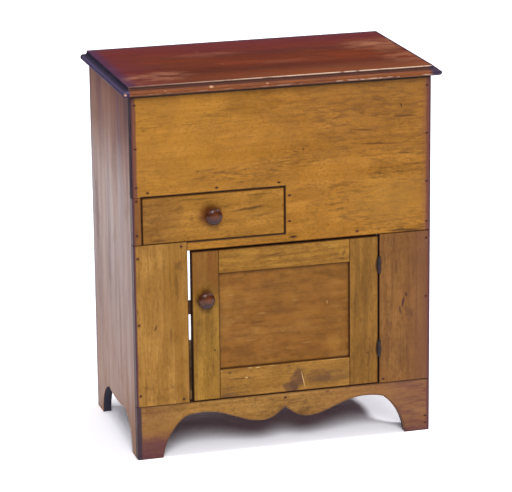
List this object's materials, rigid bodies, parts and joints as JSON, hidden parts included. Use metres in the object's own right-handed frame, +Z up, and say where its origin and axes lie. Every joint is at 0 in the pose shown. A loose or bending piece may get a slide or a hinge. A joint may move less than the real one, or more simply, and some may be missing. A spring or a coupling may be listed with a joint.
{
  "type": "dry sink cabinet",
  "caption": "Country pine dry sink cabinet with a moulded lift-up lid over a stepped well, a dovetailed drawer, a frame-and-panel door and a scalloped skirt.",
  "frame": {"origin": "on the floor under the middle of the lid", "axes": "+Z up; +X along the front to the viewer's right; +Y from the front to the back, so the door and the drawer face -Y"},
  "size_m": [0.74, 0.4467, 0.871],
  "materials": {
    "front_pine": "old oil and shellac on pine, golden brown, worn and nail-stained",
    "door_pine": "old shellac on pine, a little darker and redder than the front boards",
    "side_pine": "weathered stain on pine, mauve brown",
    "inner_pine": "bare pine, dusty and unfinished",
    "lid_stain": "dark mahogany stain, worn at the edges, satin",
    "knob_stain": "turned hardwood, dark red-brown varnish, glossy",
    "hinge_iron": "dark oxidised iron",
    "nail_iron": "rusted iron"
  },
  "bodies": {
    "case": {"side_left": "side_pine", "side_right": "side_pine", "front_board": "front_pine", "drawer_side_strip": "front_pine", "stile_left": "front_pine", "stile_right": "front_pine", "skirt": "front_pine", "skirt_bearer": "inner_pine", "cupboard_floor": "inner_pine", "deep_well_floor": "inner_pine", "shallow_well_floor": "inner_pine", "well_partition": "inner_pine", "back_board_upper": "inner_pine", "back_board_lower": "inner_pine", "door_stop": "inner_pine", "drawer_stop_left": "inner_pine", "drawer_stop_right": "inner_pine", "front_nails": "nail_iron", "back_nails": "nail_iron", "door_hinge_case_leaves": "hinge_iron", "door_hinge_pins": "hinge_iron", "door_hinge_case_screws": "hinge_iron", "lid_hinge_case_leaves": "hinge_iron", "lid_hinge_pins": "hinge_iron", "lid_hinge_case_screws": "hinge_iron"},
    "lid": {"lid_board": "lid_stain", "lid_hinge_lid_leaves": "hinge_iron", "lid_hinge_lid_screws": "hinge_iron"},
    "drawer": {"drawer_front": "front_pine", "drawer_side_left": "inner_pine", "drawer_side_right": "inner_pine", "drawer_back": "inner_pine", "drawer_bottom": "inner_pine", "drawer_knob": "knob_stain", "drawer_nails": "nail_iron"},
    "door": {"door_stile_left": "door_pine", "door_stile_right": "door_pine", "door_rail_top": "door_pine", "door_rail_bottom": "door_pine", "door_panel": "door_pine", "door_hinge_door_leaves": "hinge_iron", "door_hinge_door_screws": "hinge_iron"},
    "latch": {"door_knob": "knob_stain", "latch_bar": "inner_pine"}
  },
  "joints": [
    {"name": "lid_lift", "type": "hinge", "parent": "case", "child": "lid", "pos_m": [0, 0.22, 0.849], "axis": [-1, 0, 0], "range_deg": [0, 100]},
    {"name": "drawer_slide", "type": "slide", "parent": "case", "child": "drawer", "axis": [0, -1, 0], "range_m": [0, 0.3]},
    {"name": "door_swing", "type": "hinge", "parent": "case", "child": "door", "pos_m": [0.2255, -0.2, 0.30475], "axis": [0, 0, 1], "range_deg": [0, 175]},
    {"name": "knob_turn", "type": "hinge", "parent": "door", "child": "latch", "pos_m": [-0.187, -0.1855, 0.37], "axis": [0, -1, 0], "range_deg": [0, 90]}
  ]
}
